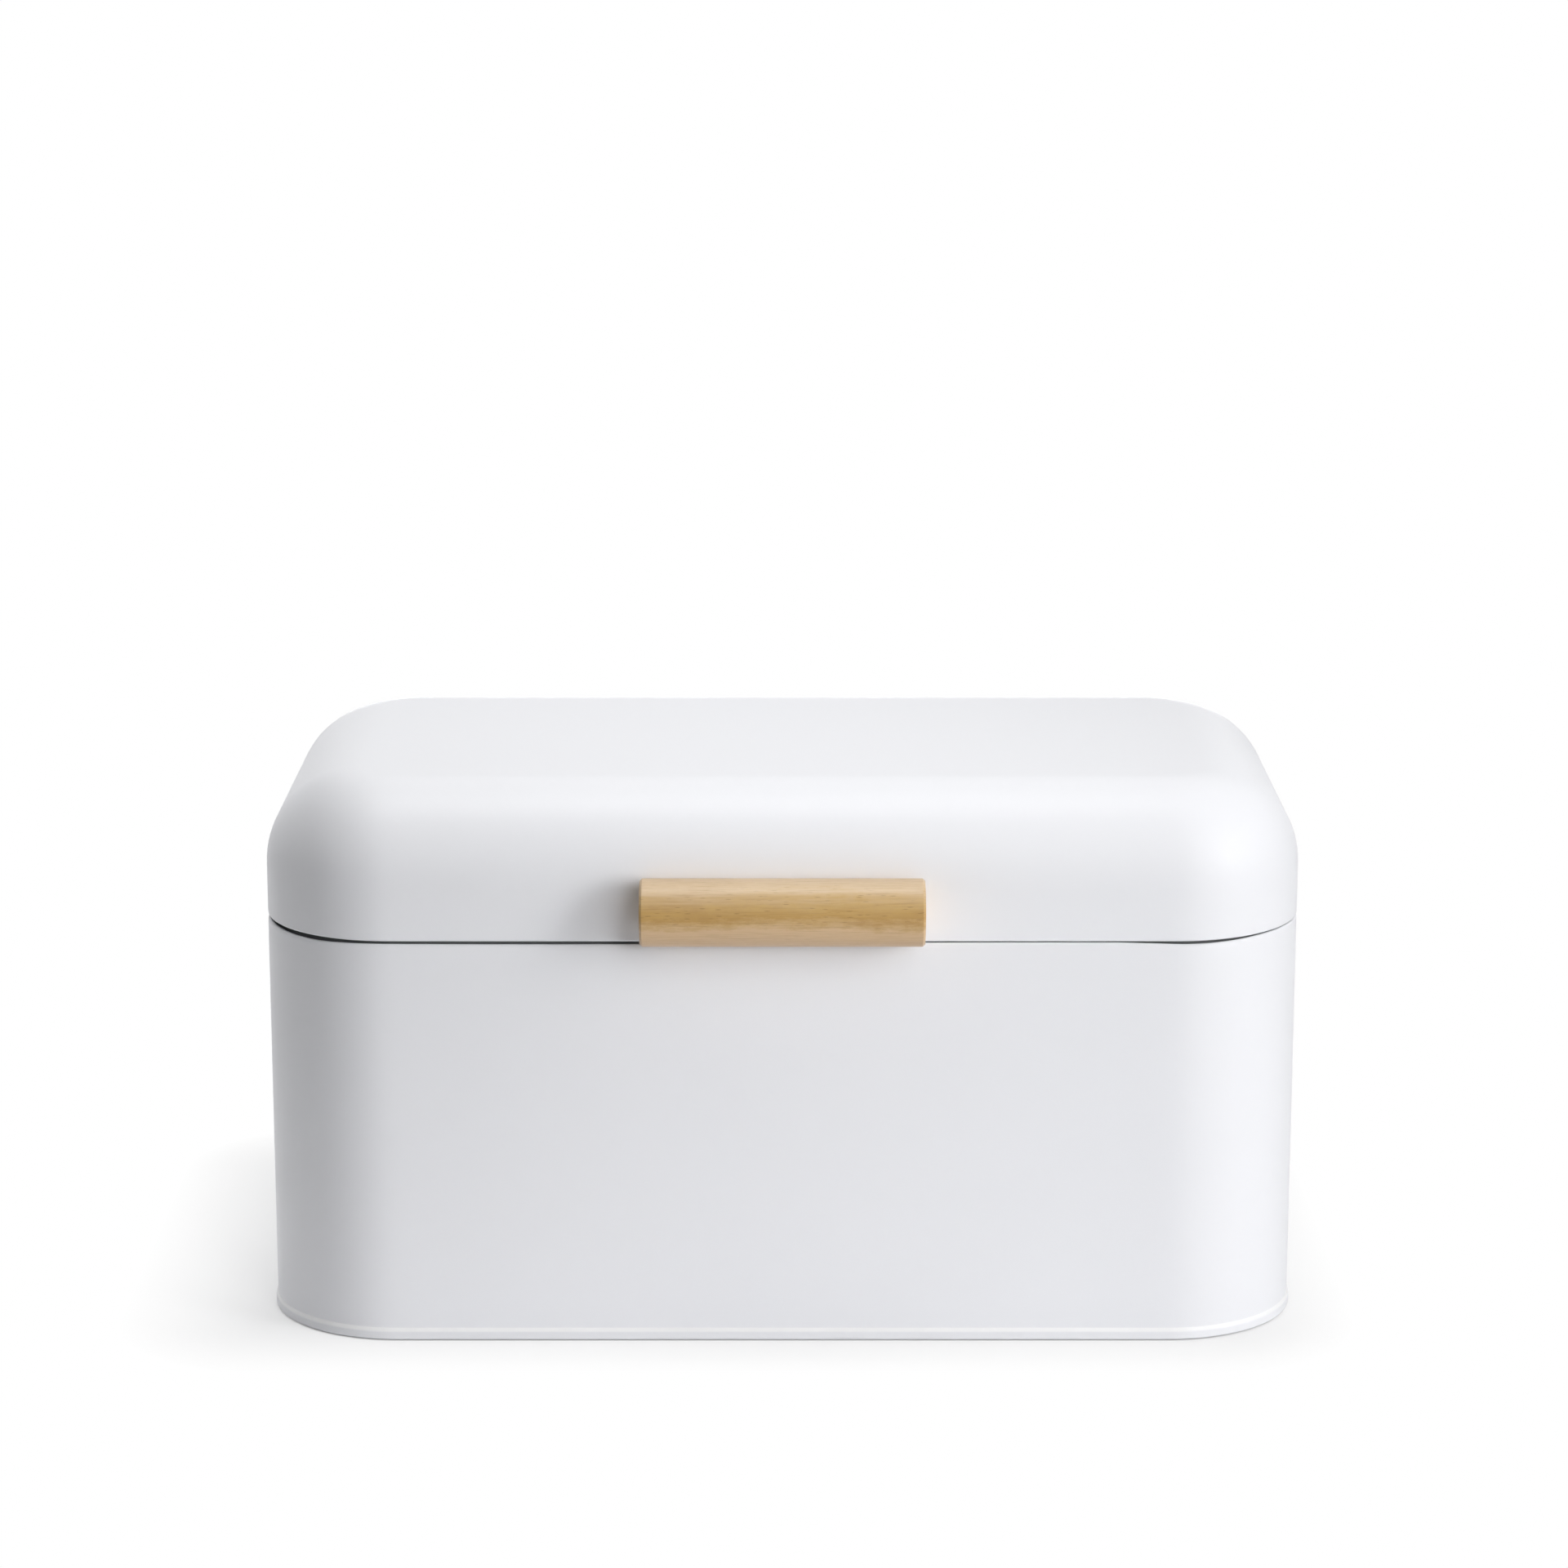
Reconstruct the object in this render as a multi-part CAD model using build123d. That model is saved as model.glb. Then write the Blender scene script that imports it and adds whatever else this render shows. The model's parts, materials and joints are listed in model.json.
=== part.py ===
from build123d import *
import math
import os

# Bread box of coated sheet steel: a bent wall seamed to a base, and a drawn lid hinged at the back.
# The front is -Y, the top is +Z, and all lengths are millimetres.

# Box
box_width = 340.0
box_depth = 183.0
box_height = 183.5  # floor to the top of the closed lid
lid_height = 48.1
corner_radius = 43.5  # upright corners
top_radius = 31.0  # rounded edge round the lid's top
sheet = 0.7  # steel with its coating
cut_over = 1.0  # how far every cut runs past the face it opens

# Wall rim: the wall steps in to a neck that the lid closes over
lid_gap = 0.45  # open line between the lid's edge and the shoulder under it
shoulder_radius = 1.5
neck_clear = 0.5  # room between the neck and the lid's hem
neck_height = 6.0  # above the shoulder
neck_curl = 2.6  # folded edge at the neck's top
round_share = 0.92  # of the sheet, for the rounding of a folded edge

# Lid hem
lid_hem = 5.0

# Base seam: the base folds round the wall's lower hem and shows as a bead
base_sheet = 0.6
seam_clear = 0.05
bead_height = 3.8
wall_hem = 2.6
base_recess = 2.4  # bead's bottom to the underside of the base
bead_round_share = 0.7  # of the base sheet
panel_rise = 1.2  # of the panel pressed up into the base
panel_round_share = 0.9  # of the base sheet

# Feet
foot_radius = 8.0
foot_lift = 0.5  # floor to the bead
foot_margin = 1.0  # room round each foot, between the seam and the panel
foot_chamfer = 0.3

# Lock seam up the middle of the back
seam_width = 6.0
seam_step = 0.7
seam_round = 0.3

# Vents in the back
vent_radius = 2.5
vent_pitch = 15.0
vent_first = 36.0  # box centre to the nearest vent of each row
vent_count = 5
vent_drop = 43.0  # lid's lower edge to the vents

# Handle
bar_radius = 10.9
bar_length = 91.0
bar_flat = 8.9  # bar's axis to the flat that sits on the lid
bar_rise = 12.0  # lid's lower edge to the bar's axis
bar_chamfer = 1.2

# Handle screws
screw_inset = 17.5  # from each end of the bar
screw_radius = 1.75
screw_bite = 13.0  # depth in the bar
screw_point = 3.0
screw_tip_radius = 0.2
screw_head_radius = 3.5
screw_head_height = 2.3
screw_round_share = 0.6  # of the head's height
slot_width = 0.9
slot_length = 4.2
slot_depth = 1.3
screw_clear = 0.1
washer_radius = 5.0
washer_sheet = 0.8

# Hinges
hinge_place = 88.0  # box centre to the middle of each hinge
hinge_width = 36.0
leaf_sheet = 1.0
leaf_drop = 17.0  # axis to the body leaf's lower edge
leaf_rise = 14.5  # axis to the lid leaf's upper edge
leaf_corner = 3.0
middle_knuckle = 14.0
knuckle_gap = 0.3  # between knuckles, along the pin
knuckle_clear = 0.4  # between a knuckle and the sheet beside it
pin_radius = 1.2
pin_clear = 0.05
pin_head_radius = 1.7
pin_head = 0.8
open_angle = 100.0
stop_length = 5.6  # axis to the tip of the stop
stop_gap = 0.1

# Rivets
rivet_radius = 1.5
rivet_clear = 0.05
rivet_head_radius = 2.8
rivet_head = 1.2
rivet_tail_radius = 2.4
rivet_tail = 0.7
rivet_round_share = 0.7  # of the head's height
rivet_spacing = 24.0
body_rivet_drop = 11.0
lid_rivet_rise = 9.6

# Levels and faces that follow from the sizes above
rim_height = box_height - lid_height  # floor to the lower edge of the closed lid
front_face = -box_depth / 2
back_face = box_depth / 2
shoulder_level = rim_height - lid_gap
neck_inset = 2 * sheet + neck_clear
neck_top = shoulder_level + neck_height
bead_bottom = foot_lift
bead_top = bead_bottom + bead_height
wall_bottom = bead_bottom + base_sheet
base_underside = bead_bottom + base_recess
base_top = base_underside + base_sheet
wall_room = 2 * sheet + seam_clear
flange_inset = wall_room + base_sheet
foot_inset = flange_inset + foot_margin + foot_radius
panel_inset = foot_inset + foot_radius + foot_margin
corner_x = box_width / 2 - corner_radius
corner_y = box_depth / 2 - corner_radius
foot_reach = (corner_radius - foot_inset) * math.sqrt(0.5)  # from a corner's centre, along X and Y
knuckle_radius = pin_radius + pin_clear + leaf_sheet
knuckle_room = knuckle_radius + knuckle_clear
axis_y = back_face + knuckle_room
axis_z = rim_height - lid_gap / 2
vent_level = rim_height - vent_drop
screw_spacing = bar_length - 2 * screw_inset
bar_axis_y = front_face - bar_flat
bar_axis_z = rim_height + bar_rise
handle_screw_seat = front_face + sheet + washer_sheet
stop_angle = math.radians(open_angle)
stop_face = leaf_sheet + stop_gap - knuckle_room  # stop's front face when open, from the axis

# How far the handle and the hinge stops reach past the box, and the shift that centres the whole
handle_reach = bar_flat + bar_radius
hinge_reach = knuckle_room + stop_face * math.cos(stop_angle) + stop_length * math.sin(stop_angle)
centre_shift = (handle_reach - hinge_reach) / 2

standing = (Align.CENTER, Align.CENTER, Align.MIN)


def block(inset, bottom, top):
    """Upright block of the box's plan, drawn in on every side by the inset."""
    plan = RectangleRounded(box_width - 2 * inset, box_depth - 2 * inset, corner_radius - inset)
    return Pos(0, 0, bottom) * extrude(plan, top - bottom)


def topped(solid, radius):
    """The solid with its top edges rounded."""
    return fillet(solid.edges().group_by(Axis.Z)[-1], radius)


def rod(radius, length):
    """Round bar standing on the origin."""
    return Cylinder(radius, length, align=standing)


def back_hole(radius, x, z):
    """Cutter through the sheet of the back."""
    length = sheet + 2 * cut_over
    return Pos(x, back_face + cut_over, z) * Rot(X=90) * rod(radius, length)


def mirrored(spacing):
    """Places on the left and the right of a middle."""
    return (-spacing / 2, spacing / 2)


# Box


def body_wall():
    outer = topped(block(0, wall_bottom, shoulder_level), shoulder_radius)
    outer += block(neck_inset, shoulder_level - sheet, neck_top)
    room = topped(block(sheet, wall_bottom, shoulder_level - sheet), shoulder_radius - sheet)
    neck_room = block(neck_inset + sheet, shoulder_level - 2 * sheet, neck_top + cut_over)
    curl = block(neck_inset, neck_top - neck_curl, neck_top)
    curl -= block(neck_inset + 2 * sheet, neck_top - neck_curl - cut_over, neck_top + cut_over)
    hem = block(0, wall_bottom, wall_bottom + wall_hem)
    hem -= block(2 * sheet, wall_bottom - cut_over, wall_bottom + wall_hem + cut_over)
    wall = outer - room - neck_room + curl + hem
    wall = topped(wall, round_share * sheet)
    wall += lock_seam()
    for side in (-1, 1):
        for step in range(vent_count):
            wall -= back_hole(vent_radius, side * (vent_first + step * vent_pitch), vent_level)
        for across in mirrored(rivet_spacing):
            x = side * hinge_place + across
            wall -= back_hole(rivet_radius + rivet_clear, x, axis_z - body_rivet_drop)
    return wall


def lock_seam():
    bottom = bead_top + seam_clear
    height = shoulder_level - shoulder_radius - bottom
    on_the_back = (Align.CENTER, Align.MIN, Align.MIN)
    strip = Box(seam_width, sheet + seam_step, height, align=on_the_back)
    strip = fillet(strip.edges().filter_by(Axis.Z).group_by(Axis.Y)[-1], seam_round)
    return Pos(0, back_face - sheet, bottom) * strip


def base_pan():
    bead = -(seam_clear + base_sheet)
    rim = block(bead, bead_bottom, bead_top)
    levels = rim.edges().group_by(Axis.Z)
    rim = fillet(levels[-1] + levels[0], bead_round_share * base_sheet)
    channel = block(-seam_clear, wall_bottom, bead_top + cut_over)
    channel -= block(wall_room, wall_bottom - cut_over, bead_top + 2 * cut_over)
    above = block(wall_room, base_top, bead_top + cut_over)
    below = block(flange_inset, bead_bottom - cut_over, base_underside)
    pan = rim - channel - above - below
    panel_round = panel_round_share * base_sheet
    panel = topped(block(panel_inset, base_underside, base_top + panel_rise), panel_round)
    hollow = topped(block(panel_inset + base_sheet, bead_bottom, base_underside + panel_rise), panel_round)
    return pan + panel - hollow


def foot():
    pad = rod(foot_radius, base_underside)
    return chamfer(pad.edges().group_by(Axis.Z)[0], foot_chamfer)


def lid_shell():
    outer = topped(block(0, rim_height, box_height), top_radius)
    room = topped(block(sheet, rim_height - cut_over, box_height - sheet), top_radius - sheet)
    hem = block(0, rim_height, rim_height + lid_hem)
    hem -= block(2 * sheet, rim_height - cut_over, rim_height + lid_hem + cut_over)
    lid = outer - room + hem
    lid = fillet(lid.edges().group_by(Axis.Z)[0], round_share * sheet)
    for side in (-1, 1):
        for across in mirrored(rivet_spacing):
            x = side * hinge_place + across
            lid -= back_hole(rivet_radius + rivet_clear, x, axis_z + lid_rivet_rise)
    screw_hole = Rot(X=90) * rod(screw_radius + screw_clear, sheet + 2 * cut_over)
    for x in mirrored(screw_spacing):
        lid -= Pos(x, front_face + sheet + cut_over, bar_axis_z) * screw_hole
    return lid


# Handle


def handle_bar():
    bar = Rot(Y=90) * Cylinder(bar_radius, bar_length)
    ends = bar.edges().group_by(Axis.X)
    bar = chamfer(ends[0] + ends[-1], bar_chamfer)
    behind = (Align.CENTER, Align.MIN, Align.CENTER)
    bar -= Pos(0, bar_flat, 0) * Box(bar_length + cut_over, bar_radius, 2 * bar_radius, align=behind)
    depth = screw_bite + screw_clear
    for x in mirrored(screw_spacing):
        bar -= Pos(x, bar_flat, 0) * Rot(X=90) * rod(screw_radius + screw_clear, depth)
    return Pos(0, bar_axis_y, bar_axis_z) * bar


def handle_screw():
    """Pan-head screw along +Z, with its seat under the head at the origin."""
    shank = sheet + washer_sheet + screw_bite - screw_point
    point = Cone(screw_radius, screw_tip_radius, screw_point, align=standing)
    screw = rod(screw_radius, shank) + Pos(0, 0, shank) * point
    head = topped(rod(screw_head_radius, screw_head_height), screw_round_share * screw_head_height)
    head = Rot(X=180) * head
    for turn in (0, 90):
        slot = Box(slot_length, slot_width, slot_depth, align=standing)
        head -= Pos(0, 0, -screw_head_height) * Rot(Z=turn) * slot
    return screw + head


def handle_washer():
    """Washer along +Z, with the face that meets the sheet at its top."""
    return rod(washer_radius, washer_sheet) - rod(screw_radius + screw_clear, washer_sheet)


# Hinges, drawn about the pin's axis with the back of the box at -knuckle_room in Y


def leaf_plate(width, bottom, top):
    on_the_back = (Align.CENTER, Align.MIN, Align.MIN)
    return Pos(0, -knuckle_room, bottom) * Box(width, leaf_sheet, top - bottom, align=on_the_back)


def knuckle(length):
    return Rot(Y=90) * Cylinder(knuckle_radius, length)


def pin_bore():
    return Rot(Y=90) * Cylinder(pin_radius + pin_clear, hinge_width + 2 * cut_over)


def leaf_hole(x, z):
    length = leaf_sheet + 2 * cut_over
    hole = Rot(X=90) * rod(rivet_radius + rivet_clear, length)
    return Pos(x, leaf_sheet + cut_over - knuckle_room, z) * hole


def hinge_body_leaf():
    leaf = leaf_plate(hinge_width, -leaf_drop, -knuckle_room)
    leaf = fillet(leaf.edges().filter_by(Axis.Y).group_by(Axis.Z)[0], leaf_corner)
    length = (hinge_width - middle_knuckle) / 2 - knuckle_gap
    for side in (-1, 1):
        outer = Pos(side * (hinge_width - length) / 2, 0, 0)
        leaf += outer * leaf_plate(length, -knuckle_room, 0)
        leaf += outer * knuckle(length)
    leaf -= pin_bore()
    for x in mirrored(rivet_spacing):
        leaf -= leaf_hole(x, -body_rivet_drop)
    return leaf


def hinge_lid_leaf():
    leaf = leaf_plate(hinge_width, knuckle_room, leaf_rise)
    leaf = fillet(leaf.edges().filter_by(Axis.Y).group_by(Axis.Z)[-1], leaf_corner)
    leaf += leaf_plate(middle_knuckle, 0, knuckle_room)
    leaf += knuckle(middle_knuckle)
    leaf += stop_tab()
    leaf -= pin_bore()
    for x in mirrored(rivet_spacing):
        leaf -= leaf_hole(x, lid_rivet_rise)
    return leaf


def stop_tab():
    """Tab that lies along the body leaf when the lid is fully open, turned back to the closed lid."""
    tab = Box(middle_knuckle, leaf_sheet, stop_length, align=(Align.CENTER, Align.MIN, Align.MAX))
    return Rot(X=open_angle) * Pos(0, stop_face, 0) * tab


def hinge_pin():
    length = hinge_width + 2 * pin_clear
    pin = Rot(Y=90) * Cylinder(pin_radius, length)
    for side in (-1, 1):
        pin += Pos(side * (length + pin_head) / 2, 0, 0) * Rot(Y=90) * Cylinder(pin_head_radius, pin_head)
    ends = pin.edges().group_by(Axis.X)
    return chamfer(ends[0] + ends[-1], pin_head / 2)


def rivet():
    """Rivet along +Z through a leaf and the sheet behind it, with the leaf's outer face at the origin."""
    grip = leaf_sheet + sheet
    body = Pos(0, 0, -grip) * rod(rivet_radius, grip)
    head = topped(rod(rivet_head_radius, rivet_head), rivet_round_share * rivet_head)
    tail = Pos(0, 0, -grip - rivet_tail) * rod(rivet_tail_radius, rivet_tail)
    return body + head + tail


def rivet_pair(level):
    """The two rivets of one leaf, at a level above or below the pin's axis."""
    pair = [Pos(x, leaf_sheet - knuckle_room, level) * Rot(X=-90) * rivet() for x in mirrored(rivet_spacing)]
    return Compound(children=pair)


# Assembly

centred = Pos(0, centre_shift, 0)
nodes = {
    "body_wall": body_wall(),
    "base_pan": base_pan(),
    "lid_shell": lid_shell(),
    "handle_bar": handle_bar(),
}

for name, side in (("left", -1), ("right", 1)):
    at_screw = Pos(side * screw_spacing / 2, handle_screw_seat, bar_axis_z) * Rot(X=90)
    nodes[f"handle_screw_{name}"] = at_screw * handle_screw()
    nodes[f"handle_washer_{name}"] = at_screw * handle_washer()
    at_hinge = Pos(side * hinge_place, axis_y, axis_z)
    nodes[f"hinge_body_leaf_{name}"] = at_hinge * hinge_body_leaf()
    nodes[f"hinge_lid_leaf_{name}"] = at_hinge * hinge_lid_leaf()
    nodes[f"hinge_pin_{name}"] = at_hinge * hinge_pin()
    nodes[f"hinge_body_rivets_{name}"] = at_hinge * rivet_pair(-body_rivet_drop)
    nodes[f"hinge_lid_rivets_{name}"] = at_hinge * rivet_pair(lid_rivet_rise)
    for end, row in (("front", -1), ("back", 1)):
        at_foot = Pos(side * (corner_x + foot_reach), row * (corner_y + foot_reach), 0)
        nodes[f"foot_{end}_{name}"] = at_foot * foot()

os.makedirs("parts", exist_ok=True)
for name, solid in nodes.items():
    export_step(centred * solid, f"parts/{name}.step")

print("box centre y", round(centre_shift, 4))
print("lid axis y, z", round(axis_y + centre_shift, 4), round(axis_z, 4))
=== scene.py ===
import json
import math

import bpy
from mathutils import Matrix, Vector


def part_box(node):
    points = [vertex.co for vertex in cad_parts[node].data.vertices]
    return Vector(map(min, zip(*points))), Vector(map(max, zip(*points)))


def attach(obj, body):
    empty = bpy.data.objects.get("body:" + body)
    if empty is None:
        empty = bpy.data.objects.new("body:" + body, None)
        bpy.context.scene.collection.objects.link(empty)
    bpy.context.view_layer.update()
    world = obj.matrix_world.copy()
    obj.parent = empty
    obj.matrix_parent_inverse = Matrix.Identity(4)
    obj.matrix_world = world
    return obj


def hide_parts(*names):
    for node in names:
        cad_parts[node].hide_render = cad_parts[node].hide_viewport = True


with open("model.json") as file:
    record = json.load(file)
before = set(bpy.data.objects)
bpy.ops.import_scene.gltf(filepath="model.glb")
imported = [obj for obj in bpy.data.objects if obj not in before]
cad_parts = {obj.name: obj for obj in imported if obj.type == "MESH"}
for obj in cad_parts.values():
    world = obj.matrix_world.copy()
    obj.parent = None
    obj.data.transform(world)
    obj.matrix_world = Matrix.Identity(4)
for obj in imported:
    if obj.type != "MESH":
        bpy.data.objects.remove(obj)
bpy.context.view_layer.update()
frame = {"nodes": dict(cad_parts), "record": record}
mm = 0.001
slack = 0.08 * mm  # how close a point lies to a level or outline to count as on it
mostly, hardly = 0.9, 0.5  # shares of a direction that count as along it and as across it
print("frame loaded with", len(frame["nodes"]), "nodes")


# Plan of the box, shared by the wall, the base and the lid
plan = {"corner": 43.5 * mm, "cornerSteps": 28, "sheet": 0.7 * mm}
lidLow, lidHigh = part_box("lid_shell")
wallLow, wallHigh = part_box("body_wall")
baseLow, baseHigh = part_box("base_pan")
middleY = (lidLow.y + lidHigh.y) / 2
halfWidth = (lidHigh.x - lidLow.x) / 2
halfDepth = (lidHigh.y - lidLow.y) / 2


def planDepth(point):  # how far a point lies inside the box's outline, seen from above
    x = abs(point.x) - halfWidth + plan["corner"]
    y = abs(point.y - middleY) - halfDepth + plan["corner"]
    return plan["corner"] - math.hypot(max(x, 0), max(y, 0)) - min(max(x, y), 0)


def facesIn(point, normal):  # does this face look towards the middle of the box
    across = Vector((point.x, point.y - middleY, 0))
    straight = Vector((math.copysign(max(abs(across.x) - halfWidth + plan["corner"], 0), across.x),
                       math.copysign(max(abs(across.y) - halfDepth + plan["corner"], 0), across.y), 0))
    return abs(normal.z) < hardly and normal.dot(straight) < 0


# Modelling steps, each with Blender's own tools
def leaveEdit():
    if bpy.context.object and bpy.context.object.mode != "OBJECT":
        bpy.ops.object.mode_set(mode="OBJECT")


def choose(*pieces):  # selects these objects alone, the last one active
    leaveEdit()
    bpy.ops.object.select_all(action="DESELECT")
    for piece in pieces:
        piece.select_set(True)
        bpy.context.view_layer.objects.active = piece


def startPiece(name):
    piece = bpy.context.object
    piece.name = name
    piece.data.name = name
    bpy.ops.object.transform_apply(location=True, rotation=True, scale=True)
    return piece


def startCube(name, low, high):
    choose()
    bpy.ops.mesh.primitive_cube_add(size=1, location=(Vector(low) + Vector(high)) / 2)
    bpy.context.object.scale = Vector(high) - Vector(low)
    return startPiece(name)


def startRod(name, radius, length, centre, turn, sides):
    choose()
    bpy.ops.mesh.primitive_cylinder_add(vertices=sides, radius=radius, depth=length,
                                        location=centre, rotation=turn)
    return startPiece(name)


def pick(piece, kind, test):  # selects faces by centre and normal, edges by middle and run, or points
    leaveEdit()
    bpy.context.view_layer.objects.active = piece
    bpy.ops.object.mode_set(mode="EDIT")
    bpy.ops.mesh.select_mode(type=kind)
    bpy.ops.mesh.select_all(action="DESELECT")
    bpy.ops.object.mode_set(mode="OBJECT")
    mesh = piece.data
    if kind == "FACE":
        for face in mesh.polygons:
            face.select = test(face.center, face.normal)
    elif kind == "VERT":
        for point in mesh.vertices:
            point.select = test(point.co)
    else:
        for edge in mesh.edges:
            start, end = (mesh.vertices[i].co for i in edge.vertices)
            edge.select = test((start + end) / 2, (end - start).normalized())
    bpy.ops.object.mode_set(mode="EDIT")


def roundPicked(radius, steps):
    bpy.ops.mesh.bevel(offset=radius, segments=steps, profile=0.5, affect="EDGES")


def roundUprights(piece, radius):
    pick(piece, "EDGE", lambda mid, run: abs(run.z) > mostly)
    roundPicked(radius, plan["cornerSteps"])


def raisePicked(height):  # pushes the picked faces up, with new sides below them
    bpy.ops.mesh.extrude_region_move(TRANSFORM_OT_translate={"value": (0, 0, height)})


def cutLevel(piece, level):  # a ring of edges all round the piece
    pick(piece, "FACE", lambda mid, normal: True)
    bpy.ops.mesh.bisect(plane_co=(0, 0, level), plane_no=(0, 0, 1))


def foldIn(piece, low, high, sheet):  # a second layer of sheet inside a band
    pick(piece, "FACE", lambda mid, normal: low < mid.z < high and facesIn(mid, normal))
    bpy.ops.mesh.extrude_region_shrink_fatten(
        TRANSFORM_OT_shrink_fatten={"value": sheet, "use_even_offset": True})


def useModifier(piece, kind, **settings):
    choose(piece)
    modifier = piece.modifiers.new(kind.title(), kind)
    for key, value in settings.items():
        setattr(modifier, key, value)
    bpy.ops.object.modifier_apply(modifier=modifier.name)


def thicken(piece, sheet):
    useModifier(piece, "SOLIDIFY", thickness=sheet, offset=-1, use_even_offset=True)


def smoothPiece(piece, angle=35):
    choose(piece)
    bpy.ops.object.shade_smooth_by_angle(angle=math.radians(angle))
    useModifier(piece, "WEIGHTED_NORMAL", keep_sharp=True, weight=100)


def joinPieces(main, others):
    choose(*others, main)
    bpy.ops.object.join()


def settle(piece, body, node, finish):
    piece.data.materials.clear()
    piece.data.materials.append(finish)
    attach(piece, body)
    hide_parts(node)


# Shader sums, written as Python
class Wire:
    def __init__(self, tree, socket):
        self.tree = tree
        self.socket = socket

    def sum(self, operation, first, second):
        node = self.tree.nodes.new("ShaderNodeMath")
        node.operation = operation
        for place, value in enumerate((first, second)):
            if isinstance(value, Wire):
                self.tree.links.new(value.socket, node.inputs[place])
            else:
                node.inputs[place].default_value = value
        return Wire(self.tree, node.outputs[0])

    def __add__(self, other):
        return self.sum("ADD", self, other)

    def __radd__(self, other):
        return self.sum("ADD", other, self)

    def __sub__(self, other):
        return self.sum("SUBTRACT", self, other)

    def __rsub__(self, other):
        return self.sum("SUBTRACT", other, self)

    def __mul__(self, other):
        return self.sum("MULTIPLY", self, other)

    def __truediv__(self, other):
        return self.sum("DIVIDE", self, other)

    def __pow__(self, other):
        return self.sum("POWER", self, other)


class Finish:
    def __init__(self, owner):
        owner.use_nodes = True
        self.owner = owner
        self.tree = owner.node_tree
        self.tree.nodes.clear()

    def add(self, kind, settings=None, sockets=None, out=0):
        node = self.tree.nodes.new(kind)
        for key, value in (settings or {}).items():
            if key == "stops":
                ramp = node.color_ramp.elements
                while len(ramp) < len(value):
                    ramp.new(0.5)
                for stop, (place, colour) in zip(ramp, value):
                    stop.position = place
                    stop.color = (*colour, 1)
            else:
                setattr(node, key, value)
        for key, value in (sockets or {}).items():
            if isinstance(value, Wire):
                self.tree.links.new(value.socket, node.inputs[key])
            else:
                node.inputs[key].default_value = value
        return Wire(self.tree, node.outputs[out]) if node.outputs else None

    def place(self, scale=(1, 1, 1), shift=(0, 0, 0)):
        objectPlace = self.add("ShaderNodeTexCoord", out="Object")
        return self.add("ShaderNodeMapping", {}, {"Vector": objectPlace, "Scale": scale, "Location": shift})

    def along(self, where, axis):
        return self.add("ShaderNodeSeparateXYZ", {}, {0: where}, out=axis)

    def noise(self, where, scale, detail=2, rough=0.5):
        return self.add("ShaderNodeTexNoise", {}, {"Vector": where, "Scale": scale, "Detail": detail,
                                                   "Roughness": rough})

    def sway(self, noise, share):  # a noise that goes as far down as up
        return (noise - 0.5) * share

    def ramp(self, value, stops):
        return self.add("ShaderNodeValToRGB", {"stops": stops}, {"Fac": value})

    def between(self, value, low, high, start, end):  # a number that runs from start to end
        return self.add("ShaderNodeMapRange", {}, {"Value": value, "From Min": low, "From Max": high,
                                                   "To Min": start, "To Max": end})

    def mix(self, share, first, second):  # sockets 6 and 7 take the colours
        return self.add("ShaderNodeMix", {"data_type": "RGBA"}, {0: share, 6: first, 7: second}, out=2)

    def bump(self, height, strength, distance):
        return self.add("ShaderNodeBump", {}, {"Height": height, "Strength": strength,
                                               "Distance": distance})

    def close(self, shader):
        kind = "World" if isinstance(self.owner, bpy.types.World) else "Material"
        self.add(f"ShaderNodeOutput{kind}", {}, {"Surface": shader})
        return self.owner


def newFinish(name):
    return Finish(bpy.data.materials.new(name))


def pastBox(f, where, reachX, reachY):  # how far a point lies outside an upright box, seen from above
    over = []
    for axis, reach in (("X", reachX), ("Y", reachY)):
        away = f.add("ShaderNodeMath", {"operation": "ABSOLUTE"}, {0: f.along(where, axis)}) - reach
        over.append(f.add("ShaderNodeMath", {"operation": "MAXIMUM"}, {0: away, 1: 0.0}))
    return (over[0] * over[0] + over[1] * over[1]) ** 0.5


def pastCorners(f, where):  # the same from the middles of the round corners: their radius is the outline
    return pastBox(f, where, halfWidth - plan["corner"], halfDepth - plan["corner"])


# White powder coat on the sheet steel, with painted shade in the groove behind the rim and a painted
# highlight on the bead's top.
# The groove's places are measured from the outline inwards and from the lid's lower edge up, the bead's from
# the base's lower edge up
coat = {"pale": (0.862, 0.868, 0.9, 1), "paler": (0.874, 0.88, 0.91, 1), "rough": 0.47, "ior": 1.5,
        "cloudScale": 14, "cloudRough": 0.06, "peelScale": 900, "peelRough": 0.05,
        "peelBump": 0.12, "peelDepth": 0.02 * mm, "fade": 0.3 * mm,
        # painted shade: the grey painted into the groove behind the rim, and where it goes
        "groove": (0.27, 0.275, 0.285, 1), "grooveFrom": 1.6 * mm, "grooveTo": 4.6 * mm,
        "grooveTop": 1.6 * mm, "grooveFoot": -5 * mm,
        # painted highlight: the whiter colour of the bead's sloped top, and the levels where it goes
        "bead": (0.985, 0.988, 0.995, 1), "beadFoot": 2.75 * mm, "beadTop": 3.8 * mm}


def paintedGrooveShade(f):  # painted shade: the coat in the groove behind the rim is painted darker grey, so that the gap under the lid reads dark
    where = f.place(shift=(0, -middleY, -lidLow.z))
    fade = coat["fade"]
    depth = plan["corner"] - pastCorners(f, where)
    height = f.along(where, "Z")
    across = f.between(depth, coat["grooveFrom"] - fade, coat["grooveFrom"], 0, 1)
    across = across * f.between(depth, coat["grooveTo"], coat["grooveTo"] + fade, 1, 0)
    up = f.between(height, coat["grooveFoot"] - fade, coat["grooveFoot"], 0, 1)
    return across * f.between(height, 0, coat["grooveTop"], 1, 0) * up


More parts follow.
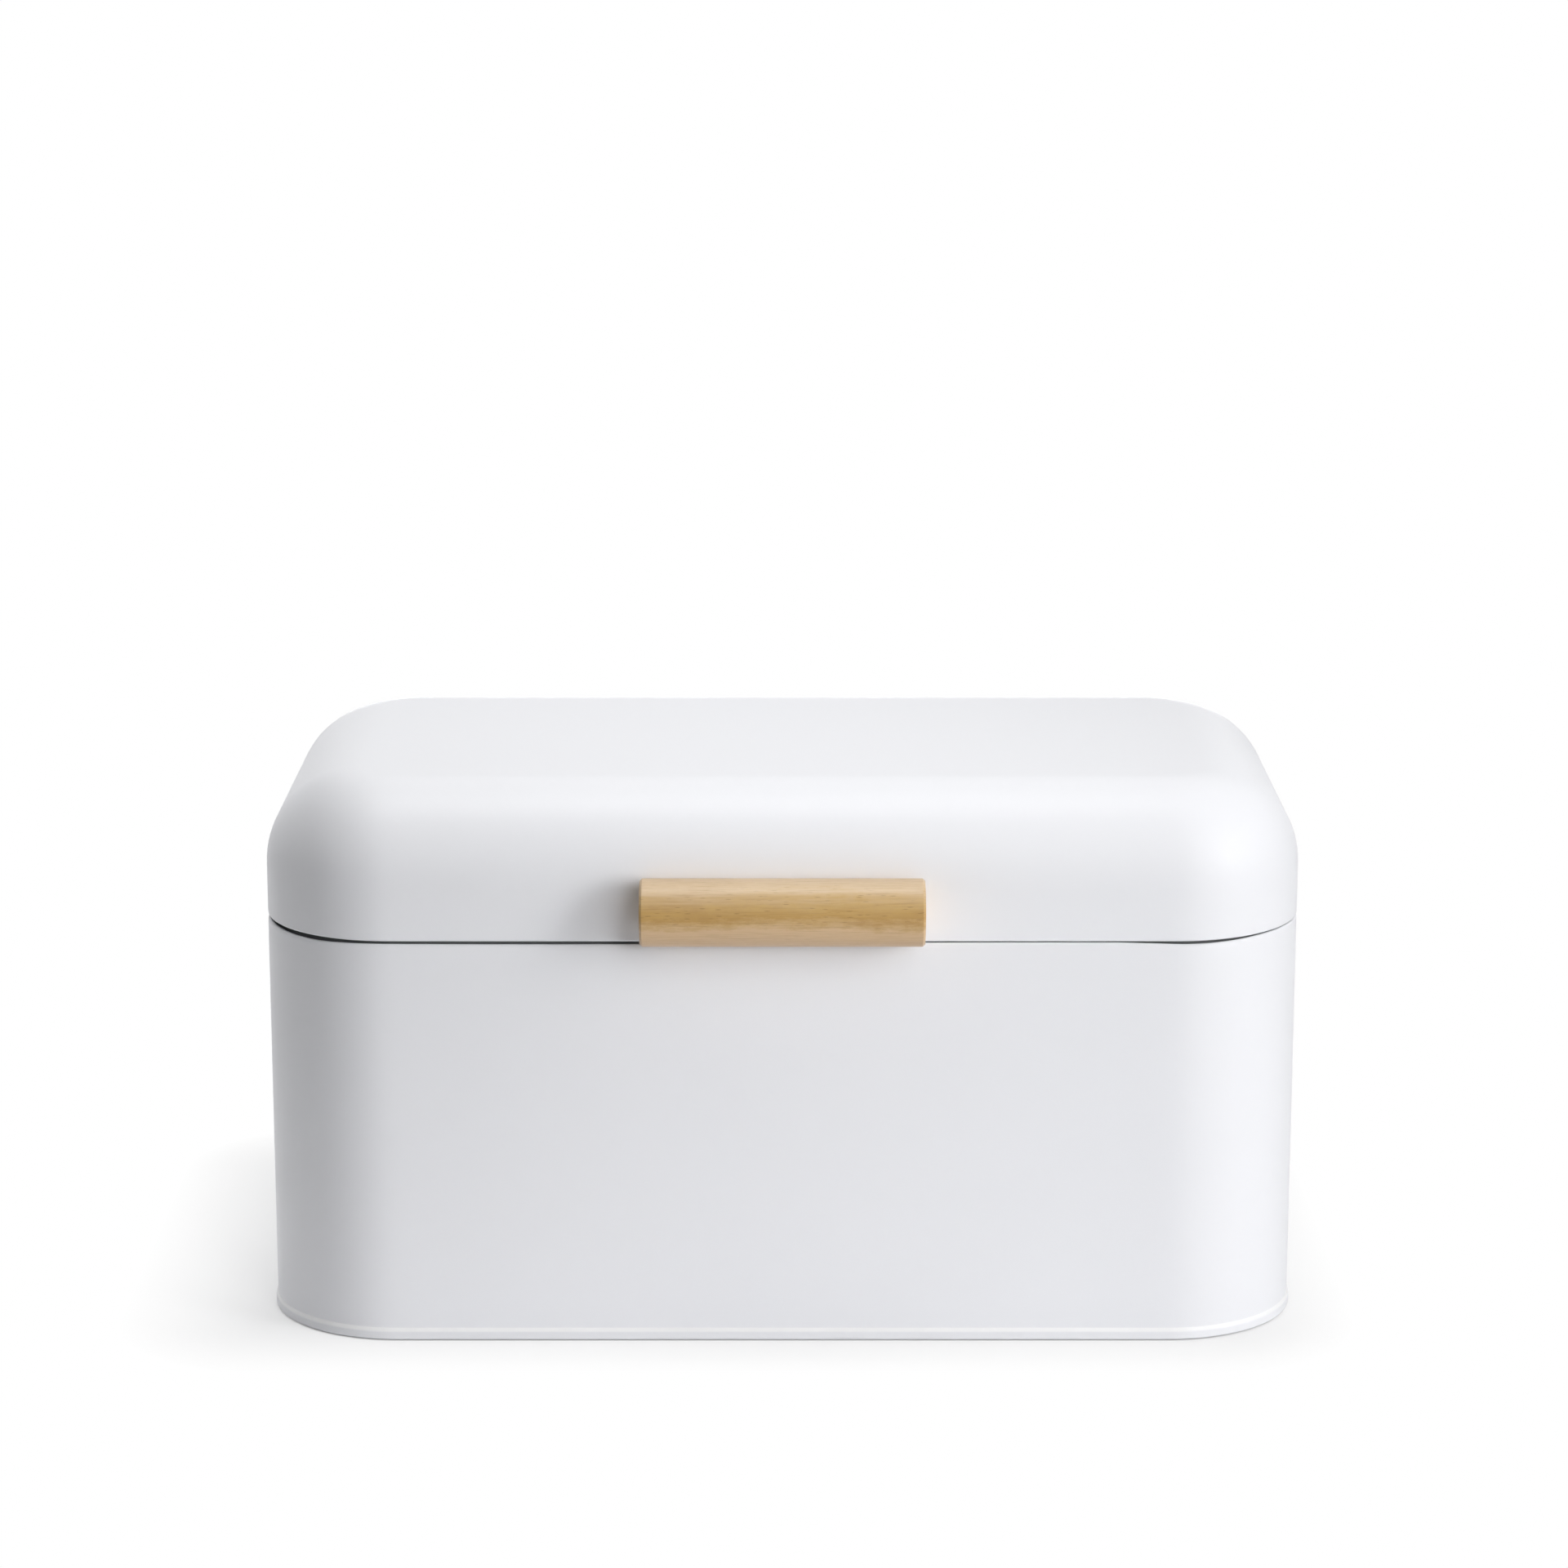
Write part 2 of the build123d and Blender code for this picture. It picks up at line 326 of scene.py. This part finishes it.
def paintedBeadHighlight(f):  # painted highlight: the sloped top of the base's bead is painted whiter, standing in for its bright line
    height = f.along(f.place(shift=(0, 0, -baseLow.z)), "Z")
    low, high, fade = coat["beadFoot"], coat["beadTop"], coat["fade"]
    return f.between(height, low - fade, low + fade, 0, 1) * f.between(height, high, high + fade, 1, 0)


def coatWhite():
    f = newFinish("coatWhite")
    where = f.place()
    cloud = f.noise(where, coat["cloudScale"], detail=3)
    peel = f.noise(where, coat["peelScale"])
    # painted shade: the groove behind the rim is painted grey
    tone = f.mix(paintedGrooveShade(f), f.mix(cloud, coat["pale"], coat["paler"]), coat["groove"])
    # painted highlight: the bead's sloped top is painted whiter
    tone = f.mix(paintedBeadHighlight(f), tone, coat["bead"])
    shader = f.add("ShaderNodeBsdfPrincipled", {}, {
        "Base Color": tone,
        "Roughness": coat["rough"] + f.sway(cloud, coat["cloudRough"]) + f.sway(peel, coat["peelRough"]),
        "IOR": coat["ior"],
        "Normal": f.bump(peel, coat["peelBump"], coat["peelDepth"])})
    return f.close(shader)


# Pale hardwood, its grain along the bar: a golden layer through the middle, pinker, lighter wood over and
# under it. These bands follow the bar's height, and their lighter top and bottom are partly painted sheen
# from the light above and the floor below, partly the wood's own tone.
# A grain is a noise's scale along, across and up, a range is from and to on the noise, then on the result
wood = {"layers": [(0.08, (0.62, 0.435, 0.262)), (0.32, (0.665, 0.47, 0.275)), (0.55, (0.52, 0.32, 0.1)),
                   (0.68, (0.565, 0.372, 0.146)), (0.88, (0.65, 0.478, 0.29))],
        "radius": 10.9 * mm, "middle": 0.5, "rough": 0.34, "fibreRough": 0.1, "ior": 1.5,
        "driftGrain": (24, 45, 45), "driftSway": 0.3, "streakGrain": (32, 520, 520), "streakSway": 0.3,
        "mottleGrain": (150, 420, 420), "mottleSway": 0.26, "fibreGrain": (70, 2300, 2300),
        "goldenFrom": (0.3, 0.55, 0.15, 1), "goldenTo": (0.72, 0.9, 1, 0.3),
        "dusk": (0.43, 0.25, 0.078, 1), "duskRange": (0.44, 0.62, 0, 0.65),
        "line": (0.36, 0.205, 0.075, 1), "lineRange": (0.5, 0.72, 0, 0.4),
        "fleck": (0.22, 0.115, 0.035, 1), "fleckGrain": (190, 1150, 1150), "fleckRange": (0.1, 0.24, 0.45, 0),
        "fleckDip": 0.6, "bump": 0.25, "bumpDepth": 0.05 * mm}


def paleWood():
    f = newFinish("paleWood")
    barLow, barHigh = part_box("handle_bar")
    centre = (barLow + barHigh) / 2
    height = f.along(f.place(shift=-centre), "Z")
    drift = f.noise(f.place(wood["driftGrain"]), 1)  # slow wander of the layers along the bar
    streaks = f.noise(f.place(wood["streakGrain"]), 1, detail=3, rough=0.6)
    mottle = f.noise(f.place(wood["mottleGrain"]), 1, detail=4, rough=0.7)
    fibres = f.noise(f.place(wood["fibreGrain"]), 1, detail=4, rough=0.65)
    # the bands run with the bar's height, so their lighter top and bottom are partly painted sheen
    level = height / (2 * wood["radius"]) + wood["middle"] + f.sway(drift, wood["driftSway"])
    level = level + f.sway(streaks, wood["streakSway"]) + f.sway(mottle, wood["mottleSway"])
    golden = f.between(level, *wood["goldenFrom"]) * f.between(level, *wood["goldenTo"])
    dusk = f.between(drift * 0.5 + mottle * 0.5, *wood["duskRange"]) * golden
    tone = f.mix(dusk, f.ramp(level, wood["layers"]), wood["dusk"])
    tone = f.mix(f.between(fibres, *wood["lineRange"]), tone, wood["line"])
    cells = f.add("ShaderNodeTexVoronoi", {"feature": "F1"}, {
        "Vector": f.place(wood["fleckGrain"]), "Scale": 1, "Randomness": 1}, out="Distance")
    flecks = f.between(cells, *wood["fleckRange"])
    shader = f.add("ShaderNodeBsdfPrincipled", {}, {
        "Base Color": f.mix(flecks * golden, tone, wood["fleck"]),
        "Roughness": wood["rough"] + fibres * wood["fibreRough"],
        "IOR": wood["ior"],
        "Normal": f.bump(fibres - flecks * wood["fleckDip"], wood["bump"], wood["bumpDepth"])})
    return f.close(shader)


# Zinc plate on the hinge leaves, and the brighter plate on the small fasteners
zincPlate = {"colour": (0.66, 0.66, 0.675), "rough": 0.36, "brush": (40, 2400, 2400)}
brightPlate = {"colour": (0.74, 0.74, 0.745), "rough": 0.24, "brush": (700, 700, 700)}
plate = {"dull": 0.86, "cloudScale": 160, "cloudRough": 0.14, "lineRough": 0.12,
         "bump": 0.1, "bumpDepth": 0.03 * mm}


def plated(name, given):
    f = newFinish(name)
    cloud = f.noise(f.place(), plate["cloudScale"], detail=4)
    lines = f.noise(f.place(given["brush"]), 1, detail=3)
    dull = [part * plate["dull"] for part in given["colour"]]
    rough = given["rough"] + f.sway(cloud, plate["cloudRough"]) + f.sway(lines, plate["lineRough"])
    shader = f.add("ShaderNodeBsdfPrincipled", {}, {
        "Base Color": f.mix(cloud, (*dull, 1), (*given["colour"], 1)),
        "Metallic": 1,
        "Roughness": rough,
        "Normal": f.bump(lines, plate["bump"], plate["bumpDepth"])})
    return f.close(shader)


# Matt rubber of the feet
rubber = {"dark": (0.028, 0.028, 0.03, 1), "dusty": (0.05, 0.05, 0.052, 1), "dustScale": 220,
          "rough": 0.72, "grainScale": 1800, "grainRough": 0.12, "bump": 0.3, "bumpDepth": 0.05 * mm}


def greyRubber():
    f = newFinish("greyRubber")
    grain = f.noise(f.place(), rubber["grainScale"], detail=3)
    dust = f.noise(f.place(), rubber["dustScale"], detail=4)
    shader = f.add("ShaderNodeBsdfPrincipled", {}, {
        "Base Color": f.mix(dust, rubber["dark"], rubber["dusty"]),
        "Roughness": rubber["rough"] + grain * rubber["grainRough"],
        "Normal": f.bump(grain, rubber["bump"], rubber["bumpDepth"])})
    return f.close(shader)


finishes = {
    "white_coating": coatWhite(),
    "pale_wood": paleWood(),
    "grey_rubber": greyRubber(),
    "plated_hinge": plated("zincPlate", zincPlate),
    "plated_fastener": plated("brightPlate", brightPlate),
}
for part in frame["record"]["subparts"]:
    for place in frame["nodes"][part["node"]].material_slots:
        place.material = finishes[part["material_slot"]]
print("finishes made:", ", ".join(finishes))


# Lid: one drawn shell with a folded lower edge
lid = {"topRound": 31 * mm, "topSteps": 22, "hem": 5 * mm, "edgeRound": 0.62 * mm, "edgeSteps": 4}


def modelLid():
    sheet = plan["sheet"]
    piece = startCube("lidShell", lidLow, lidHigh)
    roundUprights(piece, plan["corner"])
    pick(piece, "EDGE", lambda mid, run: mid.z > lidHigh.z - slack)
    roundPicked(lid["topRound"], lid["topSteps"])
    pick(piece, "FACE", lambda mid, normal: normal.z < -mostly)
    bpy.ops.mesh.delete(type="FACE")
    thicken(piece, sheet)
    cutLevel(piece, lidLow.z + lid["hem"])
    foldIn(piece, lidLow.z, lidLow.z + lid["hem"], sheet)
    pick(piece, "EDGE", lambda mid, run: mid.z < lidLow.z + slack and abs(run.z) < hardly
         and min(abs(planDepth(mid)), abs(planDepth(mid) - 2 * sheet)) < slack)
    roundPicked(lid["edgeRound"], lid["edgeSteps"])
    smoothPiece(piece)
    settle(piece, "lid", "lid_shell", finishes["white_coating"])
    print("lid modelled:", len(piece.data.polygons), "faces")


modelLid()


# Wall: one bent strip with a rolled rim, a neck inside it with a folded top, vents and a lock seam
wall = {"rimHeight": 2.0 * mm, "rimInset": 0.75 * mm, "rimSteps": 6, "crest": 0.25 * mm,
        "rollRound": 0.5 * mm, "rollSteps": 3, "rollLean": 0.03 * mm, "groove": 3.2 * mm,
        "neckInset": 4.2 * mm, "neckFoot": 0.3 * mm, "neckHeight": 6 * mm,
        "curl": 2.6 * mm, "hem": 2.6 * mm, "edgeRound": 0.62 * mm, "edgeSteps": 4,
        "frontCuts": 12 * mm, "cutsEachSide": 10, "moveWidth": 3 * mm}
# The gap under the lid's front is uneven: where the rim moves, how far along that fades out, and by how much
rimMoves = [(-157 * mm, 29 * mm, -0.8 * mm), (-84 * mm, 150 * mm, -0.62 * mm),
            (84 * mm, 50 * mm, 0.06 * mm), (134 * mm, 24 * mm, -0.58 * mm)]
vents = {"radius": 2.5 * mm, "pitch": 15 * mm, "first": 36 * mm, "count": 5, "drop": 43 * mm,
         "sides": 32, "cutLength": 6 * mm, "rimRound": 0.28 * mm, "rimSteps": 3}
lockSeam = {"width": 6 * mm, "step": 0.7 * mm, "bury": 0.2 * mm, "round": 0.3 * mm, "roundSteps": 3}


def ventPlaces():
    steps = [vents["first"] + n * vents["pitch"] for n in range(vents["count"])]
    return [Vector((side * x, lidHigh.y, lidLow.z - vents["drop"])) for side in (-1, 1) for x in steps]


def cutVents(piece):
    first, *others = ventPlaces()
    quarter = (math.pi / 2, 0, 0)
    cutter = startRod("ventCutter", vents["radius"], vents["cutLength"], first, quarter, vents["sides"])
    copies = []
    for place in others:
        choose(cutter)
        bpy.ops.object.duplicate()
        bpy.ops.transform.translate(value=place - first)
        copies.append(bpy.context.object)
    joinPieces(cutter, copies)
    bpy.ops.object.transform_apply(location=True, rotation=True, scale=True)
    useModifier(piece, "BOOLEAN", operation="DIFFERENCE", object=cutter, solver="EXACT")
    bpy.data.objects.remove(cutter)
    pick(piece, "EDGE", lambda mid, run: mid.y > lidHigh.y - slack and abs(run.y) < hardly and any(
        (mid - place).length < vents["radius"] + slack for place in ventPlaces()))
    roundPicked(vents["rimRound"], vents["rimSteps"])


def rimProfile():  # inset and level of each ring, from the flat wall over the rim to the foot of the neck
    high, roll, foot = wall["rimHeight"], wall["rollRound"], wall["neckFoot"]
    floor = high - wall["groove"]
    inner = wall["rimInset"] + wall["crest"]
    rings = []
    for n in range(1, wall["rimSteps"] + 1):
        turn = math.pi / 2 * n / wall["rimSteps"]
        rings.append((wall["rimInset"] * (1 - math.cos(turn)), high * math.sin(turn)))
    for n in range(wall["rollSteps"] + 1):
        turn = math.pi / 2 * n / wall["rollSteps"]
        rings.append((inner + roll * math.sin(turn), high - roll * (1 - math.cos(turn))))
    rings.append((inner + roll + wall["rollLean"], floor + foot))
    rings.append((inner + roll + foot, floor))
    rings.append((wall["neckInset"] - foot, floor))
    rings.append((wall["neckInset"], floor + foot))
    return rings


def settleRim(piece, flat):  # cuts the front rim across, then moves it up or down in soft stretches
    cuts = wall["cutsEachSide"]
    for n in range(-cuts, cuts + 1):
        pick(piece, "FACE", lambda mid, normal: mid.z > flat - slack and mid.y < middleY)
        bpy.ops.mesh.bisect(plane_co=(n * wall["frontCuts"], 0, 0), plane_no=(1, 0, 0))
    for x, reach, lift in rimMoves:
        pick(piece, "VERT", lambda point: point.z > flat - slack and point.y < middleY
             and abs(point.x - x) < wall["moveWidth"])
        bpy.ops.transform.translate(value=(0, 0, lift), use_proportional_edit=True,
                                    proportional_edit_falloff="SMOOTH", proportional_size=reach)


def modelSeam(top):
    back = lidHigh.y
    half = lockSeam["width"] / 2
    strip = startCube("lockSeam", (-half, back - lockSeam["bury"], baseHigh.z + slack),
                      (half, back + lockSeam["step"], top))
    pick(strip, "EDGE", lambda mid, run: mid.y > back + lockSeam["step"] - slack)
    roundPicked(lockSeam["round"], lockSeam["roundSteps"])
    return strip


def modelWall():
    sheet = plan["sheet"]
    neckTop = wallHigh.z
    flat = neckTop - wall["neckHeight"] - wall["rimHeight"]
    piece = startCube("bodyWall", (lidLow.x, lidLow.y, wallLow.z), (lidHigh.x, lidHigh.y, flat))
    roundUprights(piece, plan["corner"])
    pick(piece, "FACE", lambda mid, normal: normal.z > mostly)
    lastInset, lastLevel = 0, 0
    for inset, level in rimProfile():
        bpy.ops.mesh.inset(thickness=inset - lastInset, depth=level - lastLevel, use_even_offset=True)
        lastInset, lastLevel = inset, level
    raisePicked(neckTop - flat - lastLevel)
    bpy.ops.mesh.delete(type="FACE")
    pick(piece, "FACE", lambda mid, normal: normal.z < -mostly and mid.z < wallLow.z + slack)
    bpy.ops.mesh.delete(type="FACE")
    thicken(piece, sheet)
    cutLevel(piece, neckTop - wall["curl"])
    foldIn(piece, neckTop - wall["curl"], neckTop, sheet)
    cutLevel(piece, wallLow.z + wall["hem"])
    foldIn(piece, wallLow.z, wallLow.z + wall["hem"], sheet)
    edges = (wall["neckInset"], wall["neckInset"] + 2 * sheet)
    pick(piece, "EDGE", lambda mid, run: mid.z > neckTop - slack and abs(run.z) < hardly
         and min(abs(planDepth(mid) - edge) for edge in edges) < slack)
    roundPicked(wall["edgeRound"], wall["edgeSteps"])
    settleRim(piece, flat)
    cutVents(piece)
    joinPieces(piece, [modelSeam(flat)])
    smoothPiece(piece)
    settle(piece, "body", "body_wall", finishes["white_coating"])
    print("wall modelled:", len(piece.data.polygons), "faces")


modelWall()


# Base: folded round the wall's lower edge, with a pressed panel underneath
base = {"bead": 0.65 * mm, "beadHeight": 3.8 * mm, "beadSlope": 1.2 * mm, "beadTop": 0.3 * mm,
        "beadFoot": 0.55 * mm, "beadSteps": 5, "flange": 2.05 * mm, "recess": 2.4 * mm, "sheet": 0.64 * mm,
        "panelInset": 18 * mm, "panelRise": 1.2 * mm, "panelRound": 0.5 * mm, "panelSteps": 3,
        "panelPast": 15 * mm}


def modelBase():
    top = baseLow.z + base["beadHeight"] - base["beadSlope"]
    piece = startCube("basePan", baseLow, (baseHigh.x, baseHigh.y, top))
    roundUprights(piece, plan["corner"] + base["bead"])
    pick(piece, "FACE", lambda mid, normal: normal.z > mostly)
    bpy.ops.mesh.delete(type="FACE")
    pick(piece, "FACE", lambda mid, normal: normal.z < -mostly)
    bpy.ops.mesh.inset(thickness=base["bead"] + base["flange"], use_even_offset=True)
    raisePicked(base["recess"])
    bpy.ops.mesh.inset(thickness=base["panelInset"], use_even_offset=True)
    raisePicked(base["panelRise"])
    thicken(piece, base["sheet"])
    # the bead's top slopes up to the wall
    pick(piece, "VERT", lambda point: abs(point.z - top) < slack
         and abs(planDepth(point)) < base["bead"] / 2)
    bpy.ops.transform.translate(value=(0, 0, base["beadSlope"]))
    under = baseLow.z + base["recess"]
    pick(piece, "EDGE", lambda mid, run: abs(run.z) < hardly and planDepth(mid) > base["panelPast"]
         and (mid.z > under + base["panelRise"] - slack or mid.z < under + base["sheet"] + slack)
         and mid.z > under - slack)
    roundPicked(base["panelRound"], base["panelSteps"])
    for level, radius in ((top, base["beadTop"]), (baseLow.z, base["beadFoot"])):
        pick(piece, "EDGE", lambda mid, run: abs(mid.z - level) < slack
             and abs(planDepth(mid) + base["bead"]) < slack)
        roundPicked(radius, base["beadSteps"])
    smoothPiece(piece)
    settle(piece, "body", "base_pan", finishes["white_coating"])
    print("base modelled:", len(piece.data.polygons), "faces")


modelBase()


# Handle: a round bar with a flat against the lid and eased ends
bar = {"radius": 10.9 * mm, "sides": 96, "endSlope": 0.75 * mm, "easing": 0.12 * mm, "easingSteps": 2}


def modelBar():
    low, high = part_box("handle_bar")
    centre = Vector((0, low.y + bar["radius"], (low.z + high.z) / 2))
    lying = (0, math.pi / 2, 0)
    piece = startRod("handleBar", bar["radius"], high.x - low.x, centre, lying, bar["sides"])
    pick(piece, "FACE", lambda mid, normal: True)
    bpy.ops.mesh.bisect(plane_co=(0, high.y, 0), plane_no=(0, 1, 0), use_fill=True, clear_outer=True)
    pick(piece, "EDGE", lambda mid, run: abs(abs(mid.x) - high.x) < slack)
    roundPicked(bar["endSlope"], 1)  # one step, so a straight slope
    pick(piece, "EDGE", lambda mid, run: abs(run.x) < hardly
         and abs(mid.x) > high.x - bar["endSlope"] - slack)
    roundPicked(bar["easing"], bar["easingSteps"])
    smoothPiece(piece)
    settle(piece, "lid", "handle_bar", finishes["pale_wood"])
    print("bar modelled:", len(piece.data.polygons), "faces")


modelBar()


# Hinges, screws, washers and feet: the solids' own shapes, their edges eased as on stamped and turned pieces
easedWidths = {"hinge_body_leaf": 0.2 * mm, "hinge_lid_leaf": 0.2 * mm, "hinge_pin": 0.16 * mm,
               "rivets": 0.12 * mm, "handle_screw": 0.1 * mm, "handle_washer": 0.15 * mm, "foot": 0.35 * mm}
easing = {"steps": 2, "sharp": 40, "weld": 0.001 * mm, "flat": 1, "smooth": 30}  # angles in degrees


def easePiece(node, slot, body, width):
    words = node.split("_")
    choose()
    piece = bpy.data.objects.new(words[0] + "".join(word.title() for word in words[1:]),
                                 frame["nodes"][node].data.copy())
    bpy.context.scene.collection.objects.link(piece)
    pick(piece, "FACE", lambda mid, normal: True)
    bpy.ops.mesh.remove_doubles(threshold=easing["weld"])
    bpy.ops.mesh.dissolve_limited(angle_limit=math.radians(easing["flat"]))
    useModifier(piece, "BEVEL", width=width, segments=easing["steps"], limit_method="ANGLE",
                angle_limit=math.radians(easing["sharp"]))
    smoothPiece(piece, easing["smooth"])
    settle(piece, body, node, finishes[slot])
    return len(piece.data.polygons)


def easeSmallPieces():
    bodies = frame["record"]["behaviour"]["bodies"]
    slots = {part["node"]: part["material_slot"] for part in frame["record"]["subparts"]}
    faces = 0
    for body, nodes in bodies.items():
        for node in nodes:
            width = next((easedWidths[word] for word in easedWidths if word in node), None)
            if width:
                faces += easePiece(node, slots[node], body, width)
    print("small pieces eased:", faces, "faces")


easeSmallPieces()


# Camera at the photograph's angle
lens = {"place": (0, -1.4412, 0.4971), "pitch": 12.87, "focal": 100.13, "sensor": 36, "shift": 0.00104,
        "farthest": 100}


def setCamera():
    camera = bpy.data.objects.new("frontCamera", bpy.data.cameras.new("frontCamera"))
    bpy.context.scene.collection.objects.link(camera)
    camera.location = lens["place"]
    camera.rotation_euler = (math.radians(90 - lens["pitch"]), 0, 0)
    camera.data.lens = lens["focal"]
    camera.data.sensor_width = lens["sensor"]
    camera.data.shift_x = lens["shift"]
    camera.data.clip_end = lens["farthest"]
    bpy.context.scene.camera = camera


# Softboxes: where they stand, what they face, their size across and up, and their power. A grid narrows
# some to a spread in degrees, and some leave no shine
lamps = {
    "topBox": {"place": (0, 0.05, 1.55), "aim": (0, 0, 0.18), "size": (1.6, 0.8), "power": 4.25},
    "topLeftBox": {"place": (-0.35, 0.05, 1.5), "aim": (-0.2, 0, 0.18), "size": (0.9, 0.8),
                   "power": 0.55, "spread": 70},
    "lidBox": {"place": (0, 0.05, 1.3), "aim": (0, 0.02, 0.18), "size": (0.7, 0.35),
               "power": 0.215, "spread": 40},
    "keyStrip": {"place": (1.0127, -0.6831, 0.5446), "aim": (-0.15, -0.08, 0.08), "size": (0.35, 0.9),
                 "power": 0.655, "spread": 50},
    "keyBox": {"place": (0.945, -0.8509, 0.3703), "aim": (-0.15, -0.08, 0.1), "size": (0.3, 0.5),
               "power": 0.24, "spread": 50, "shine": False},
    "fillBox": {"place": (0.55, -1.23, 0.6), "aim": (0.08, -0.08, 0.18), "size": (0.5, 0.5),
                "power": 0.193, "spread": 34, "shine": False},
    "fillHighBox": {"place": (0.4, -0.95, 0.95), "aim": (0.08, -0.08, 0.14), "size": (0.5, 0.5),
                    "power": 0.12, "spread": 34, "shine": False},
    "sideBox": {"place": (1.1, -1.55, 0.27), "aim": (0, 0, 0.1), "size": (0.6, 0.3),
                "power": 3.0, "shine": False},
    "leftBox": {"place": (-1.4, 0.6, 0.4), "aim": (0, 0, 0.1), "size": (1.0, 0.7),
                "power": 5.0, "shine": False},
    "backBox": {"place": (0, 1.273, 1.373), "aim": (0, 0, 0.1), "size": (1.2, 0.9), "power": 5.0},
    "rearBox": {"place": (0, 1.6, 0.11), "aim": (0, 0.09, 0.1), "size": (0.9, 0.2), "power": 5.0},
}
openSpread = 180


def setLamps():
    for name, given in lamps.items():
        lamp = bpy.data.lights.new(name, "AREA")
        lamp.shape = "RECTANGLE"
        lamp.size, lamp.size_y = given["size"]
        lamp.energy = given["power"]
        lamp.spread = math.radians(given.get("spread", openSpread))
        holder = bpy.data.objects.new(name, lamp)
        bpy.context.scene.collection.objects.link(holder)
        holder.location = given["place"]
        holder.visible_camera = False
        holder.visible_glossy = given.get("shine", True)
        aim = Vector(given["aim"]) - Vector(given["place"])
        holder.rotation_euler = aim.to_track_quat("-Z", "Y").to_euler()


def seenDirectly(f):  # 1 for the camera and for mirrors and glass, 0 for the light that falls on things
    camera = f.add("ShaderNodeLightPath", out="Is Camera Ray")
    glossy = f.add("ShaderNodeLightPath", out="Is Glossy Ray")
    through = f.add("ShaderNodeLightPath", out="Is Transmission Ray")
    return f.add("ShaderNodeMath", {"operation": "ADD", "use_clamp": True}, {
        0: camera + glossy, 1: through})


# Sky: white to look at, nearly dark as a light
sky = {"light": (0.002, 0.002, 0.002, 1), "seen": (1, 1, 1, 1)}


def setSky():
    world = bpy.data.worlds.new("studio")
    bpy.context.scene.world = world
    f = Finish(world)
    shade = f.mix(seenDirectly(f), sky["light"], sky["seen"])
    f.close(f.add("ShaderNodeBackground", {}, {"Color": shade, "Strength": 1.0}))


# Floor: pale, shaded beside and under the box, and fading away from it to a painted white glow that covers
# its shadow
ground = {"size": 40.0, "cells": 8, "colour": (0.93, 0.93, 0.935), "dim": 0.99, "speckScale": 60,
          "white": (1, 1, 1, 1), "whiteAtBox": 0.42, "reach": 0.05, "clearRight": 0.03, "clearFront": 0.02,
          "whiteUnder": 0.15, "underFade": 0.6 * mm}


def floorPaintedWhite(f):  # how much of the floor's painted white glow shows
    # distance past the box's outline, less a strip on the lit sides, where the floor stays white: there the
    # painted white covers the shadow sooner
    clearX, clearY = ground["clearRight"] / 2, ground["clearFront"] / 2
    where = f.place(shift=(clearX, -middleY - clearY, 0))
    away = pastBox(f, where, halfWidth - clearX, halfDepth - clearY)
    fade = f.between(away, 0, ground["reach"], ground["whiteAtBox"], 1)
    # under the box the floor keeps its shade
    corner, soft = plan["corner"], ground["underFade"]
    outside = pastCorners(f, f.place(shift=(0, -middleY, 0)))
    return fade * f.between(outside, corner - soft, corner + soft, ground["whiteUnder"], 1)


def setFloor():
    choose()
    bpy.ops.mesh.primitive_grid_add(x_subdivisions=ground["cells"], y_subdivisions=ground["cells"],
                                    size=ground["size"])
    floor = startPiece("studioFloor")
    f = newFinish("paleFloor")
    speck = f.noise(f.place(), ground["speckScale"], detail=3)
    dim = [part * ground["dim"] for part in ground["colour"]]
    tone = f.mix(speck, (*dim, 1), (*ground["colour"], 1))
    plain = f.add("ShaderNodeBsdfDiffuse", {}, {"Color": tone})
    white = f.add("ShaderNodeEmission", {}, {"Color": ground["white"], "Strength": 1.0})
    shader = f.add("ShaderNodeMixShader", {}, {0: floorPaintedWhite(f) * seenDirectly(f), 1: plain, 2: white})
    floor.data.materials.append(f.close(shader))


setCamera()
setLamps()
setSky()
setFloor()
bpy.context.scene.view_settings.view_transform = "Standard"
print("studio set")

leaveEdit()
